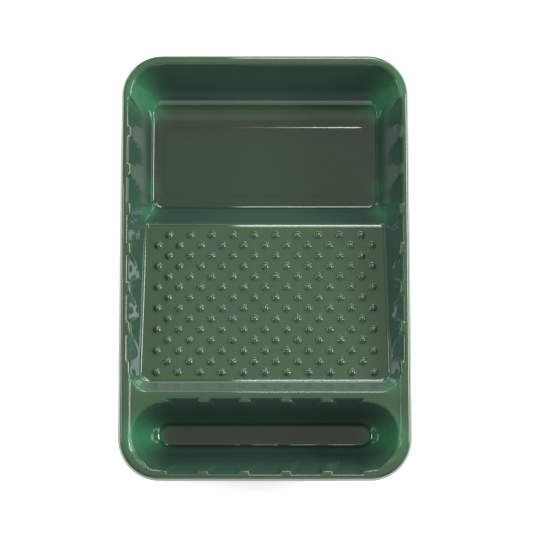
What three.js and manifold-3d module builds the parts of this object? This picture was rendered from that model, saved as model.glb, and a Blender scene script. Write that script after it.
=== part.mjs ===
// Paint roller tray: one sheet of plastic formed into a deep well, a bumpy ramp and a brush trough.
// The sheet is cut along its own creases into named regions, each one a closed solid.
// Millimetres. X runs across the tray, Y from the brush trough to the well, Z up.
// The origin is on the floor, under the middle of the tray.

import * as THREE from 'three';
import { mergeVertices } from 'three/addons/utils/BufferGeometryUtils.js';
import Module from 'manifold-3d';

const wasm = await Module();
wasm.setup();

// Overall sizes
const TRAY_WIDTH = 280;
const TRAY_LENGTH = 412;
const TRAY_HEIGHT = 70;
const TRAY_CORNER_RADIUS = 40;
const SHEET = 1.2;

// Rim: a flat land round the opening, a rounded edge and a skirt that flares outwards
const RIM_LAND = 10.5;
const RIM_EDGE_DROP = 1.4;
const RIM_EDGE_RUN = 1.6;
const SKIRT_DEPTH = 8;
const SKIRT_FLARE = 1.0;

// Deep well
const WELL_FLOOR_LENGTH = 94;
const WELL_BACK_RUN = 37;
const WELL_BACK_COVE = 21;
const WELL_SIDE_RUN = 15.5;
const WELL_FLOOR_CORNER = 9;
const PANEL_RISE = 0.8;
const PANEL_MARGIN = 9.5;

// Ramp: it climbs from its crest over the well to a riser in front of the trough
const STEP_RUN = 20;
const CREST_HEIGHT = 32;
const RAMP_END_HEIGHT = 52;
const RAMP_SIDE_RUN = 11.5;
const RAMP_END_SIDE_RUN = 9.5;
const RAMP_END_CORNER = 9;
const RISER_RUN = 10.2;
const RISER_CORNER = 20;

// Bumps that squeeze the roller, in staggered rows
const BUMP_DIAMETER = 8.4;
const BUMP_HEIGHT = 2.6;
const BUMP_PITCH_ACROSS = 21;
const BUMP_PITCH_ALONG = 10.4;
const BUMP_SIDE_MARGIN = 11;
const BUMP_END_MARGIN = 10.1;
const BUMP_CREST_MARGIN = 11;
const BUMP_SIDES = 6;

// Brush trough and the deck round it
const DECK_DROP = 2;
const DECK_EDGE_RUN = 1;
const BRIDGE_WIDTH = 8.7;
const TROUGH_WIDTH = 63.8;
const TROUGH_END_MARGIN = 3.2;
// Each pair is a share of the trough's depth and the half width there
const TROUGH_FLOOR_HALF_WIDTH = 6.5;
const TROUGH_BEND = [
  { depth: 0.9, halfWidth: 15.5 },
  { depth: 0.68, halfWidth: 22.5 },
  { depth: 0.35, halfWidth: 28 },
];

// Flutes that stiffen the side walls, and the recesses along the trough
const FLUTE_LENGTH = 27;
const FLUTE_PITCH = 38.1;
const FLUTE_RECESS = 3.1;
const FLUTE_FOOT = 9;
const FLUTE_DEPTH_IN_WELL = 0.72;
const FLUTE_DEPTH_ON_RAMP = 0.6;
const FLUTE_BACK_MARGIN = 46;
const FLUTE_END_MARGIN = 28;
const RECESS_LENGTH = 28.6;
const RECESS_PITCH = 39.1;
const RECESS_BITE = 3.3;
const RECESS_FOOT = 10;
const RECESS_DEPTH = 0.58;
const RECESS_END_MARGIN = 14;

// Where the regions of the sheet are parted, and how finely corners are faceted
const GAP = 0.3;
const RIM_CUT = 4.2;
const REGION_MARGIN = 1.6;
const CORNER_STEPS = 7;
const TROUGH_END_STEPS = 16;
const WALL_STEPS = 4;
const COVE_STEPS = 4;
const OVERSHOOT = 1;

// Places that follow from the sizes
const halfWidth = TRAY_WIDTH / 2;
const halfLength = TRAY_LENGTH / 2;
const openingX = halfWidth - RIM_LAND;
const openingY = halfLength - RIM_LAND;
const openingCorner = TRAY_CORNER_RADIUS - RIM_LAND;
const floorX = openingX - WELL_SIDE_RUN;
const floorBackY = openingY - WELL_BACK_RUN;
const floorNearY = floorBackY - WELL_FLOOR_LENGTH;
const crestY = floorNearY - STEP_RUN;
const deckZ = TRAY_HEIGHT - DECK_DROP;
const troughFarY = -openingY + TROUGH_WIDTH;
const troughY = -openingY + TROUGH_WIDTH / 2;
const riserTopY = troughFarY + BRIDGE_WIDTH;
const rampEndY = riserTopY + RISER_RUN;
const rampSlope = (RAMP_END_HEIGHT - CREST_HEIGHT) / (crestY - rampEndY);
const troughStraightX = openingX - TROUGH_END_MARGIN - TROUGH_WIDTH / 2;

const rampZ = (y) => CREST_HEIGHT + (crestY - y) * rampSlope;
const rampShare = (y) => (crestY - y) / (crestY - rampEndY);
const creaseX = (y) => openingX - RAMP_SIDE_RUN + (RAMP_SIDE_RUN - RAMP_END_SIDE_RUN) * rampShare(y);

// Solids from rings of points

function toSolid(geometry) {
  geometry.deleteAttribute('normal');
  geometry.deleteAttribute('uv');
  const merged = mergeVertices(geometry, 1e-4);
  const index = merged.index.array;
  const corners = [];
  for (let i = 0; i < index.length; i += 3) {
    const [a, b, c] = [index[i], index[i + 1], index[i + 2]];
    if (a !== b && b !== c && c !== a) corners.push(a, b, c);
  }
  return new wasm.Manifold(new wasm.Mesh({
    numProp: 3,
    vertProperties: new Float32Array(merged.attributes.position.array),
    triVerts: new Uint32Array(corners),
  }));
}

// Rings run anticlockwise seen from above and are stacked from the lowest to the highest.
function loft(rings) {
  const count = rings[0].length;
  const positions = rings.flat().flatMap((p) => [p.x, p.y, p.z]);
  const index = [];
  for (let r = 0; r < rings.length - 1; r += 1) {
    for (let i = 0; i < count; i += 1) {
      const a = r * count + i;
      const b = r * count + (i + 1) % count;
      index.push(a, b, b + count, a, b + count, a + count);
    }
  }
  const last = (rings.length - 1) * count;
  for (let i = 1; i < count - 1; i += 1) {
    index.push(0, i + 1, i);
    index.push(last, last + i, last + i + 1);
  }
  const geometry = new THREE.BufferGeometry();
  geometry.setAttribute('position', new THREE.Float32BufferAttribute(positions, 3));
  geometry.setIndex(index);
  return toSolid(geometry);
}

// The same, carried straight up from the highest ring to top
function loftTo(top, rings) {
  const highest = rings[rings.length - 1];
  if (top > highest[0].z) rings.push(highest.map((p) => new THREE.Vector3(p.x, p.y, top)));
  return loft(rings);
}

function join(solids) {
  return solids.reduce((whole, solid) => whole.add(solid));
}

// A rectangle with round corners. height is a number or a function of y.
function roundedRect(xHalf, yLow, yHigh, radiusLow, radiusHigh, height) {
  const z = (y) => (typeof height === 'function' ? height(y) : height);
  const xAt = (y) => (typeof xHalf === 'function' ? xHalf(y) : xHalf);
  const ring = [];
  const corner = (side, y, radius, start) => {
    for (let i = 0; i <= CORNER_STEPS; i += 1) {
      const angle = start + (Math.PI / 2) * (i / CORNER_STEPS);
      const py = y + radius * Math.sin(angle);
      const px = side * (xAt(py) - radius) + radius * Math.cos(angle);
      ring.push(new THREE.Vector3(px, py, z(py)));
    }
  };
  const side = (sign, from, to) => {
    for (let i = 1; i < WALL_STEPS; i += 1) {
      const y = from + (to - from) * (i / WALL_STEPS);
      ring.push(new THREE.Vector3(sign * xAt(y), y, z(y)));
    }
  };
  const low = yLow + radiusLow;
  const high = yHigh - radiusHigh;
  corner(1, low, radiusLow, -Math.PI / 2);
  side(1, low, high);
  corner(1, high, radiusHigh, 0);
  corner(-1, high, radiusHigh, Math.PI / 2);
  side(-1, high, low);
  corner(-1, low, radiusLow, Math.PI);
  return ring;
}

// A slot with round ends, about the middle of the trough
function slot(straightX, radius, z) {
  const ring = [];
  for (const sign of [1, -1]) {
    for (let i = 0; i <= TROUGH_END_STEPS; i += 1) {
      const angle = Math.PI * (i / TROUGH_END_STEPS) - Math.PI / 2;
      const x = straightX + radius * Math.cos(angle);
      ring.push(new THREE.Vector3(sign * x, troughY + sign * radius * Math.sin(angle), z));
    }
  }
  return ring;
}

function rectangle(xLow, yLow, xHigh, yHigh, z) {
  return [
    new THREE.Vector3(xLow, yLow, z),
    new THREE.Vector3(xHigh, yLow, z),
    new THREE.Vector3(xHigh, yHigh, z),
    new THREE.Vector3(xLow, yHigh, z),
  ];
}

// The hollows, each grown by t. With t = 0 they are the spaces above the sheet,
// and with t = SHEET they are the outside of the sheet below them.

function wellFloorRing(t, z) {
  const corner = WELL_FLOOR_CORNER + t;
  return roundedRect(floorX + t, floorNearY - t, floorBackY + t, corner, corner, z);
}

// The back wall curves up from the floor in an arc of radius WELL_BACK_COVE, and then runs
// straight to the opening. The other walls are flat.
function wellHollow(t, top) {
  const depth = TRAY_HEIGHT - SHEET;
  const rise = depth - WELL_BACK_COVE;
  const reach = Math.hypot(WELL_BACK_RUN, rise);
  const wallAngle = Math.atan2(rise, WELL_BACK_RUN) + Math.asin(WELL_BACK_COVE / reach);
  const ringAt = (z, backY) => {
    const share = Math.max(0, (z - SHEET) / depth);
    const nearY = floorNearY - share * depth * (STEP_RUN / (CREST_HEIGHT - SHEET));
    const backCorner = WELL_FLOOR_CORNER + share * (openingCorner - WELL_FLOOR_CORNER);
    return roundedRect(
      floorX + share * WELL_SIDE_RUN + t, nearY - t, backY, WELL_FLOOR_CORNER + t, backCorner + t, z,
    );
  };
  const rings = [wellFloorRing(t, SHEET - t)];
  for (let i = 1; i <= COVE_STEPS; i += 1) {
    const angle = wallAngle * (i / COVE_STEPS);
    const out = (WELL_BACK_COVE + t) * Math.sin(angle);
    const up = WELL_BACK_COVE - (WELL_BACK_COVE + t) * Math.cos(angle);
    rings.push(ringAt(SHEET + up, floorBackY + out));
  }
  rings.push(ringAt(TRAY_HEIGHT, openingY + t));
  return loftTo(top, rings);
}

function rampRing(t, reachY, z) {
  return roundedRect((y) => creaseX(y) + t, rampEndY - t, reachY, RAMP_END_CORNER + t, 1, z);
}

function rampHollow(t, top) {
  const reachY = (floorNearY + floorBackY) / 2;
  return loftTo(top, [
    rampRing(t, reachY, (y) => rampZ(y) - t),
    roundedRect(openingX + t, riserTopY - t, reachY, RISER_CORNER + t, 1, TRAY_HEIGHT),
  ]);
}

function deckHollow(t, top) {
  const reachY = riserTopY + RISER_CORNER + t;
  const inner = DECK_EDGE_RUN - t;
  return loftTo(top, [
    roundedRect(openingX - inner, -openingY + inner, reachY, openingCorner - inner, 1, deckZ - t),
    roundedRect(openingX + t, -openingY - t, reachY, openingCorner + t, 1, TRAY_HEIGHT),
  ]);
}

function troughHollow(t, top) {
  const depth = deckZ - SHEET;
  const rings = [slot(troughStraightX, TROUGH_FLOOR_HALF_WIDTH + t, SHEET - t)];
  for (const bend of TROUGH_BEND) {
    rings.push(slot(troughStraightX, bend.halfWidth + t, deckZ - depth * bend.depth));
  }
  rings.push(slot(troughStraightX, TROUGH_WIDTH / 2 + t, deckZ));
  return loftTo(top, rings);
}

// A wedge that leans out from a wall: wide at the top, narrow at its foot on the wall
function sideFlute(side, y, t, top) {
  const inWell = y > crestY;
  const bottom = inWell ? SHEET : rampZ(y);
  const share = inWell ? FLUTE_DEPTH_IN_WELL : FLUTE_DEPTH_ON_RAMP;
  const footZ = TRAY_HEIGHT - (TRAY_HEIGHT - bottom) * share;
  const run = inWell ? WELL_SIDE_RUN : openingX - creaseX(y);
  const footX = openingX - run * share;
  const inner = footX - WELL_SIDE_RUN / 2;
  const outer = openingX + FLUTE_RECESS + t;
  const halfFoot = FLUTE_FOOT / 2 + t;
  const halfTop = FLUTE_LENGTH / 2 + t;
  const place = (x0, x1) => [Math.min(side * x0, side * x1), Math.max(side * x0, side * x1)];
  const [footLow, footHigh] = place(inner, footX + t);
  const [topLow, topHigh] = place(inner, outer);
  return loftTo(top, [
    rectangle(footLow, y - halfFoot, footHigh, y + halfFoot, footZ - t),
    rectangle(topLow, y - halfTop, topHigh, y + halfTop, TRAY_HEIGHT),
  ]);
}

function troughRecess(side, x, t, top) {
  const footZ = deckZ - (deckZ - SHEET) * RECESS_DEPTH;
  const bend = TROUGH_BEND[1];
  const outer = TROUGH_WIDTH / 2 + RECESS_BITE + t;
  const halfFoot = RECESS_FOOT / 2 + t;
  const halfTop = RECESS_LENGTH / 2 + t;
  const footY = bend.halfWidth + t;
  const place = (from, to) => [troughY + Math.min(side * from, side * to), troughY + Math.max(side * from, side * to)];
  const [footLow, footHigh] = place(0, footY);
  const [topLow, topHigh] = place(0, outer);
  return loftTo(top, [
    rectangle(x - halfFoot, footLow, x + halfFoot, footHigh, footZ - t),
    rectangle(x - halfTop, topLow, x + halfTop, topHigh, deckZ),
  ]);
}

function fluteCentres() {
  const first = openingY - FLUTE_BACK_MARGIN;
  const count = Math.floor((first - rampEndY - FLUTE_END_MARGIN) / FLUTE_PITCH) + 1;
  return Array.from({ length: count }, (_, i) => first - i * FLUTE_PITCH);
}

function recessCentres() {
  const each = Math.floor((troughStraightX - RECESS_END_MARGIN) / RECESS_PITCH);
  return Array.from({ length: 2 * each + 1 }, (_, i) => (i - each) * RECESS_PITCH);
}

function hollows(t, top) {
  const solids = [wellHollow(t, top), rampHollow(t, top), deckHollow(t, top), troughHollow(t, top)];
  for (const side of [-1, 1]) {
    for (const y of fluteCentres()) solids.push(sideFlute(side, y, t, top));
    for (const x of recessCentres()) solids.push(troughRecess(side, x, t, top));
  }
  return join(solids);
}

// Rim and skirt

function rimRing(inset, z) {
  const y = halfLength - inset;
  const corner = TRAY_CORNER_RADIUS - inset;
  return roundedRect(halfWidth - inset, -y, y, corner, corner, z);
}

function rimPlate() {
  const skirtBottom = TRAY_HEIGHT - SKIRT_DEPTH;
  const edgeZ = TRAY_HEIGHT - RIM_EDGE_DROP;
  const outside = loft([
    rimRing(0, skirtBottom),
    rimRing(SKIRT_FLARE, edgeZ),
    rimRing(SKIRT_FLARE + RIM_EDGE_RUN, TRAY_HEIGHT),
  ]);
  const inside = loft([
    rimRing(SHEET, skirtBottom - OVERSHOOT),
    rimRing(SHEET + SKIRT_FLARE, edgeZ),
    rimRing(SHEET + SKIRT_FLARE + RIM_EDGE_RUN / 2, TRAY_HEIGHT - SHEET),
  ]);
  return outside.subtract(inside);
}

// Raised panel in the well floor

function floorPanel(rise, z0, z1) {
  const ring = (inset, z) => roundedRect(
    floorX - inset, floorNearY + inset, floorBackY - inset, WELL_FLOOR_CORNER, WELL_FLOOR_CORNER, z,
  );
  return loft([ring(PANEL_MARGIN, z0), ring(PANEL_MARGIN + rise, z1)]);
}

// Bumps

function bump(x, y) {
  const ring = (radius, z) => Array.from({ length: BUMP_SIDES }, (_, i) => {
    const angle = (2 * Math.PI * i) / BUMP_SIDES;
    const py = y + radius * Math.sin(angle);
    return new THREE.Vector3(x + radius * Math.cos(angle), py, rampZ(py) + z);
  });
  const radius = BUMP_DIAMETER / 2;
  return loft([
    ring(radius, -SHEET / 2),
    ring(radius, 0),
    ring(radius * 0.78, BUMP_HEIGHT * 0.62),
    ring(radius * 0.3, BUMP_HEIGHT),
  ]);
}

function bumps() {
  const gaps = Math.floor((2 * (openingX - RAMP_SIDE_RUN - BUMP_SIDE_MARGIN)) / BUMP_PITCH_ACROSS);
  const room = crestY - rampEndY - BUMP_END_MARGIN - BUMP_CREST_MARGIN;
  const rows = Math.floor(room / BUMP_PITCH_ALONG) + 1;
  const solids = [];
  for (let row = 0; row < rows; row += 1) {
    const y = rampEndY + BUMP_END_MARGIN + row * BUMP_PITCH_ALONG;
    const count = row % 2 === 0 ? gaps + 1 : gaps;
    for (let i = 0; i < count; i += 1) {
      solids.push(bump((i - (count - 1) / 2) * BUMP_PITCH_ACROSS, y));
    }
  }
  return join(solids);
}

// The whole formed sheet

function formedSheet() {
  const outside = rimPlate().add(hollows(SHEET, TRAY_HEIGHT));
  const sheet = outside.subtract(hollows(0, TRAY_HEIGHT + OVERSHOOT));
  const panelTop = floorPanel(PANEL_RISE, SHEET / 2, SHEET + PANEL_RISE);
  const panelUnder = floorPanel(PANEL_RISE, -OVERSHOOT, PANEL_RISE);
  return sheet.add(panelTop).subtract(panelUnder).add(bumps());
}

// Plan outlines that part the sheet into its regions

function planPrism(outline) {
  const points = outline.map((p) => new THREE.Vector2(p.x, p.y));
  if (THREE.ShapeUtils.area(points) < 0) points.reverse();
  const heights = [-OVERSHOOT, TRAY_HEIGHT + OVERSHOOT];
  return loft(heights.map((z) => points.map((p) => new THREE.Vector3(p.x, p.y, z))));
}

function block(xLow, yLow, xHigh, yHigh) {
  return planPrism(rectangle(xLow, yLow, xHigh, yHigh, 0));
}

function troughRegion(margin) {
  const reach = TROUGH_WIDTH / 2 + RECESS_BITE + REGION_MARGIN + margin;
  const straight = troughStraightX + margin;
  return planPrism(slot(troughStraightX, reach, 0))
    .add(block(-straight, -halfLength, straight, troughY));
}

// What a side wall takes up to a floor's round corner
function cornerFill(side, innerX, outerX, yLow, yHigh, floor) {
  const xs = [side * innerX, side * outerX].sort((a, b) => a - b);
  return block(xs[0], yLow, xs[1], yHigh).subtract(floor);
}

function sideRegions(side) {
  const g = GAP / 2;
  const farX = halfWidth + OVERSHOOT;
  const rampBand = [rampEndY + g, crestY - g];
  const creases = rampBand.map((y) => ({ x: side * (creaseX(y) + g), y }));
  const edges = rampBand.map((y) => ({ x: side * farX, y })).reverse();
  const endX = openingX - RAMP_END_SIDE_RUN;
  const endY = rampEndY + RAMP_END_CORNER;
  const ramp = planPrism(rampRing(g, crestY, 0));
  const floor = planPrism(wellFloorRing(g, 0));
  const wallX = [side * (floorX + g), side * farX].sort((a, b) => a - b);
  return {
    ramp: planPrism([...creases, ...edges])
      .add(cornerFill(side, endX - RAMP_END_CORNER, endX + 1, rampBand[0], endY, ramp)),
    well: block(wallX[0], crestY + g, wallX[1], openingY - openingCorner - g)
      .add(cornerFill(side, floorX - WELL_FLOOR_CORNER, floorX + 1, floorNearY + g, floorBackY - g, floor)),
  };
}

function regions() {
  const g = GAP / 2;
  const farX = halfWidth + OVERSHOOT;
  const farY = halfLength + OVERSHOOT;
  const inside = planPrism(rimRing(RIM_CUT + g, 0));
  const front = block(-farX, -farY, farX, rampEndY - g);
  const left = sideRegions(-1);
  const right = sideRegions(1);
  const parts = {
    well_floor: planPrism(wellFloorRing(-g, 0)),
    well_step: block(g - floorX, crestY + g, floorX - g, floorNearY - g),
    well_back_wall: block(-farX, openingY - openingCorner + g, farX, farY)
      .add(block(g - floorX, floorBackY + g, floorX - g, farY)),
    well_left_wall: left.well,
    well_right_wall: right.well,
    ramp: planPrism(rampRing(-g, crestY - g, 0)),
    ramp_left_wall: left.ramp,
    ramp_right_wall: right.ramp,
    front_land: front.subtract(troughRegion(GAP)),
    trough: front.intersect(troughRegion(0)),
  };
  for (const name of Object.keys(parts)) parts[name] = parts[name].intersect(inside);
  parts.rim = block(-farX, -farY, farX, farY).subtract(planPrism(rimRing(RIM_CUT - g, 0)));
  return parts;
}

// The finished group

const sheetPlastic = { color: 0x3f6446, roughness: 0.22, metalness: 0 };

function regionMesh(name, solid) {
  const mesh = solid.getMesh();
  const geometry = new THREE.BufferGeometry();
  geometry.setAttribute('position', new THREE.BufferAttribute(mesh.vertProperties, 3));
  geometry.setIndex(new THREE.BufferAttribute(mesh.triVerts, 1));
  const part = new THREE.Mesh(geometry, new THREE.MeshStandardMaterial(sheetPlastic));
  part.name = name;
  return part;
}

const tray = new THREE.Group();
const sheet = formedSheet();
for (const [name, prism] of Object.entries(regions())) {
  tray.add(regionMesh(name, sheet.intersect(prism)));
}

export default tray;
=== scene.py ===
import math

import bmesh
import bpy
import numpy as np
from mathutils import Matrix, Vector
from mathutils.geometry import delaunay_2d_cdt


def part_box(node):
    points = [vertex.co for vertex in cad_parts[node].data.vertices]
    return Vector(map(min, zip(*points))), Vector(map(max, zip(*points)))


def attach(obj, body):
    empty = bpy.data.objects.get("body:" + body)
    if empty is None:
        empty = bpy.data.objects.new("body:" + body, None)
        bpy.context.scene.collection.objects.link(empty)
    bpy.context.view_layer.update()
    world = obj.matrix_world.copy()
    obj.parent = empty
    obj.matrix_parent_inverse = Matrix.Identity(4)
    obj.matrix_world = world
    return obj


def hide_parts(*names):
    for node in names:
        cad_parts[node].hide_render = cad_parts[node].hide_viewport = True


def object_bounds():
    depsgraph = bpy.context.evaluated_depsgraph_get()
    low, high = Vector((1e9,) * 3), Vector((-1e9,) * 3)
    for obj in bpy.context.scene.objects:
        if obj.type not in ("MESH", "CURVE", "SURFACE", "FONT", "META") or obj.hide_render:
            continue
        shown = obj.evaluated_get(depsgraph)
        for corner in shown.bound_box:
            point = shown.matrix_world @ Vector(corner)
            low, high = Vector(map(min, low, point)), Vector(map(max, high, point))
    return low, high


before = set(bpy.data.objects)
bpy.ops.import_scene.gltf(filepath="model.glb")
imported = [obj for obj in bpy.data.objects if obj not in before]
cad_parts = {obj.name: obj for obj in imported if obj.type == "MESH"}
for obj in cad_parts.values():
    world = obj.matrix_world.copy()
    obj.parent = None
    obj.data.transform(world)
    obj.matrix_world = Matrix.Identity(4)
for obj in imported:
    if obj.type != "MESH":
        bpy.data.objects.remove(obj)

bl_info = {
    "name": "Paint Roller Tray",
    "version": (1, 0, 0),
    "blender": (4, 5, 0),
    "location": "View3D > Sidebar > Roller Tray",
    "description": "Models a formed plastic paint roller tray around its fixed frame",
    "category": "Add Mesh",
}

BODY = "root"
MM = 0.001

# The frame's regions are parted by a small gap, so a crease lies this far outside a region's box.
HALF_GAP = 0.15 * MM

# Side flutes: the share of the wall's depth they reach, their feet, and how far the feet lean.
FLUTE_SHARE_WELL, FLUTE_SHARE_RAMP = 0.72, 0.6
FLUTE_BACK_MARGIN, FLUTE_END_MARGIN = 46 * MM, 28 * MM
FLUTE_FOOT_HALF = 4.5 * MM
FLUTE_LEAN = 4.5 * MM
FLUTE_SOFT = 2.6 * MM
FLUTE_END_SLOPE = 1.5

# The trough: the power of its curve, and its recesses.
BOWL = 2.4
RECESS_SHARE = 0.58
RECESS_FOOT_HALF = 5 * MM
RECESS_END_MARGIN = 14 * MM

CREST_SOFT = 4 * MM
DECK_SOFT = 1.2 * MM
DECK_EDGE_SLOPE = 2
PANEL_EDGE = 6 * MM

# An outline is followed this far below its floor and above the rim.
RISE_BELOW, RISE_ABOVE = 4 * MM, 16 * MM

# Where the sheet stretches thin, and a brighter green is painted there as a glow of light through the thin
# sheet: beyond a crease in X and Y, how far it spreads, and how much.
BACK_CORNER_THIN_GLOW = (4 * MM, 10 * MM, 15 * MM, 0.85)
STEP_CORNER_THIN_GLOW = (2 * MM, -6 * MM, 10 * MM, 0.4)
WELL_SIDE_THIN_GLOW = (1 * MM, 20 * MM, 9 * MM, 0.2)
TROUGH_END_THIN_GLOW = (22 * MM, 0.0, 15 * MM, 1.0)
RAMP_CORNER_THIN_GLOW = (0.0, -2 * MM, 9 * MM, 0.3)

# The painted shade on the floors stops short of the well floor's back edge.
PAINTED_SHADE_SHORT = 5 * MM
# Strength of the paler painted reflection on the riser.
RISER_PAINTED_REFLECTION = 0.55

# The net of faces that the sheet is made of.
NET_INSET = 5.7 * MM
LIP_SPACING = 1.2 * MM
CELL_STEPS = 8
CORNER_STEPS = 18
SIDE_STEPS = 30
EDGE_STEPS = 6
DOME_SQUARES = (0.0, 0.25, 0.5, 0.75, 1.0)
DOME_RINGS = (0.0, 0.44, 0.80, 1.0, 1.25)

BUMPS_ACROSS = 11
BUMP_END_MARGIN = 10.1 * MM
BUMP_CREST_MARGIN = 11 * MM

# The stage: places in metres, angles in degrees. Each light is (name, centre, width, height, radiance).
FLOOR_RADIUS = 3.0
FLOOR_GLOW = 0.35
WORLD_STRENGTH = 2.0
WORLD_BRIGHT_WAY = (0.5, 0.85, 0.0)
CAMERA_AIM = (0.0013, -0.0012, 0.060)
CAMERA_TILT = 6.0
CAMERA_ROLL = 0.0
CAMERA_DISTANCE = 1.4
CAMERA_LENS = 98.0
LIGHTS = (
    ("window_low", (0.12, 1.04, 1.05), 0.36, 0.22, 26.0),
    ("window_high", (0.12, 0.70, 1.28), 0.36, 0.12, 22.0),
    ("strip_right", (1.30, 0.10, 0.80), 0.80, 0.36, 22.0),
    ("strip_left", (-1.30, 0.00, 0.80), 0.60, 0.24, 13.0),
    ("corner_right", (0.75, 1.05, 0.62), 0.50, 0.24, 14.0),
    ("corner_left", (-0.95, 0.95, 0.62), 0.40, 0.20, 12.0),
    ("low_front", (0.0, -1.5, 0.70), 1.00, 1.00, 1.4),
)

LOW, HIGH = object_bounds()
FLOOR_LOW, FLOOR_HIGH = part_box("well_floor")
STEP_LOW, STEP_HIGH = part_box("well_step")
RAMP_LOW, RAMP_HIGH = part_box("ramp")


# ---------------------------------------------------------------- sizes and colours

def length(name, description, default):
    return bpy.props.FloatProperty(
        name=name, description=description, default=default, min=0.0, unit="LENGTH", precision=4)


def share(name, description, default):
    return bpy.props.FloatProperty(
        name=name, description=description, default=default, min=0.0, max=1.0, subtype="FACTOR")


def colour(name, description, default):
    return bpy.props.FloatVectorProperty(
        name=name, description=description, default=default, size=3, min=0.0, max=1.0, subtype="COLOR")


class TraySizes(bpy.types.PropertyGroup):
    sheet: length("Sheet thickness", "Thickness of the plastic sheet", 1.2 * MM)
    rim_land: length("Rim land", "Width of the flat rim round the opening", 10.5 * MM)
    corner_radius: length("Corner radius", "Radius of the rim's outer corners", 40 * MM)
    edge_round: length("Edge round", "Radius of the rim's rounded outer edge", 3.2 * MM)
    skirt_depth: length("Skirt depth", "Height of the turned-down skirt", 8 * MM)
    skirt_flare: length("Skirt flare", "How far the skirt leans out", 1.8 * MM)
    lip_round: length("Lip round", "Half width of the rounding along the opening", 1.6 * MM)
    trough_lip: length("Trough lip", "Half width of the rounding along the trough", 1.3 * MM)
    crease_radius: length("Crease radius", "Radius of the creases at the foot of the walls", 4.2 * MM)
    back_cove: length("Back cove", "Radius of the back wall's curved foot", 21 * MM)
    floor_corner: length("Floor corner", "Plan radius of the well floor's corners", 9 * MM)
    panel_rise: length("Panel rise", "Height of the raised panel in the well floor", 0.4 * MM)
    panel_margin: length("Panel margin", "Width of the flat ring round the panel", 9.5 * MM)
    ramp_end_height: length("Ramp end height", "Height of the ramp at its upper end", 52 * MM)
    ramp_side_run: length("Ramp side run", "Plan width of the ramp's side walls at the crest", 11.5 * MM)
    ramp_end_corner: length("Ramp end corner", "Plan radius of the ramp's corners", 9 * MM)
    riser_run: length("Riser run", "Plan width of the riser at the ramp's end", 10.2 * MM)
    riser_corner: length("Riser corner", "Plan radius of the opening's corners at the riser", 20 * MM)
    deck_drop: length("Deck drop", "How far the deck round the trough lies below the rim", 2 * MM)
    bridge_width: length("Bridge width", "Width of the deck between the ramp and the trough", 8.7 * MM)
    trough_end_margin: length("Trough end margin", "Deck beyond the trough's ends", 3.2 * MM)
    trough_floor: length("Trough floor", "Half width of the trough's flat floor", 6.5 * MM)
    bump_diameter: length("Bump diameter", "Diameter of the bumps on the ramp", 8.4 * MM)
    bump_height: length("Bump height", "Height of the bumps on the ramp", 2.6 * MM)
    bump_pitch_across: length("Bump pitch across", "Distance between bumps in a row", 21 * MM)
    bump_pitch_along: length("Bump pitch along", "Distance between rows of bumps", 10.4 * MM)
    flute_length: length("Flute length", "Length of the side flutes at the opening", 27 * MM)
    flute_pitch: length("Flute pitch", "Distance between side flutes", 38.1 * MM)
    flute_recess: length("Flute recess", "How far the flutes bite into the rim", 3.1 * MM)
    recess_length: length("Recess length", "Length of the trough's recesses", 28.6 * MM)
    recess_pitch: length("Recess pitch", "Distance between the trough's recesses", 39.1 * MM)
    recess_bite: length("Recess bite", "How far the trough's recesses bite outwards", 3.3 * MM)


class TrayColours(bpy.types.PropertyGroup):
    sheet: colour("Sheet", "Colour of the sheet where it is thick", (0.023, 0.056, 0.026))
    wall: colour("Wall", "Colour of the steep walls, where the sheet is drawn down", (0.021, 0.052, 0.036))
    # Painted reflection: a paler grey on the ribs between the flutes and on the riser, standing in for the
    # light they reflect.
    painted_reflection: colour("Painted reflection", "Colour of the ribs between flutes and of the riser", (0.075, 0.098, 0.082))
    # Painted glow: an emission on the steep walls that stands in for daylight shining through the sheet.
    through: colour("Light through", "Daylight shown through the steep walls", (0.008, 0.012, 0.010))
    # Thin sheet: partly the sheet's real lighter green where it is thin, partly a painted glow standing in
    # for light shining through it.
    thin: colour("Thin sheet", "Colour where the sheet has stretched thin", (0.030, 0.205, 0.084))
    # Painted shade: a darker colour for the low flat floors of the well and trough, where shade falls.
    pool: colour("Floor", "Colour of the flat floors", (0.010, 0.031, 0.014))
    floor: colour("Studio floor", "Colour of the floor under the tray", (0.93, 0.93, 0.93))
    gloss: share("Roughness", "Roughness of the clean sheet", 0.055)


# ---------------------------------------------------------------- plan geometry

def soft_max(a, b, reach):
    """The larger height, rounded where the two differ by less than reach."""
    near = np.clip(1 - np.abs(a - b) / reach, 0, 1)
    return np.maximum(a, b) + reach * near ** 2 / 4


def soft_min(a, b, reach):
    return -soft_max(-a, -b, reach)


def smooth_step(value):
    value = np.clip(value, 0, 1)
    return value * value * (3 - 2 * value)


def outside_rect(x, y, half_x, low_y, high_y, low_radius, high_radius):
    """Distance outside a rectangle with round corners, negative inside."""
    middle = (low_y + high_y) / 2
    radius = np.where(y < middle, low_radius, high_radius)
    over_x = np.abs(x) - half_x + radius
    over_y = np.abs(y - middle) - (high_y - low_y) / 2 + radius
    outer = np.hypot(np.maximum(over_x, 0), np.maximum(over_y, 0))
    return outer + np.minimum(np.maximum(over_x, over_y), 0) - radius


def coved_run(rise, run, height, radius):
    """Plan distance of a wall at a rise above its floor: an arc at its foot, then straight."""
    reach = np.hypot(run, height - radius)
    angle = np.arctan2(height - radius, run) + np.arcsin(radius / reach)
    arc_rise = radius * (1 - np.cos(angle))
    inside = np.clip(rise, 0, arc_rise)
    arc = np.sqrt(np.maximum(2 * radius * inside - inside ** 2, 0))
    below = np.sqrt(np.maximum(-2 * radius * rise, 0))
    return np.where(rise < 0, -below, arc + np.maximum(rise - arc_rise, 0) / np.tan(angle))


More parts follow.
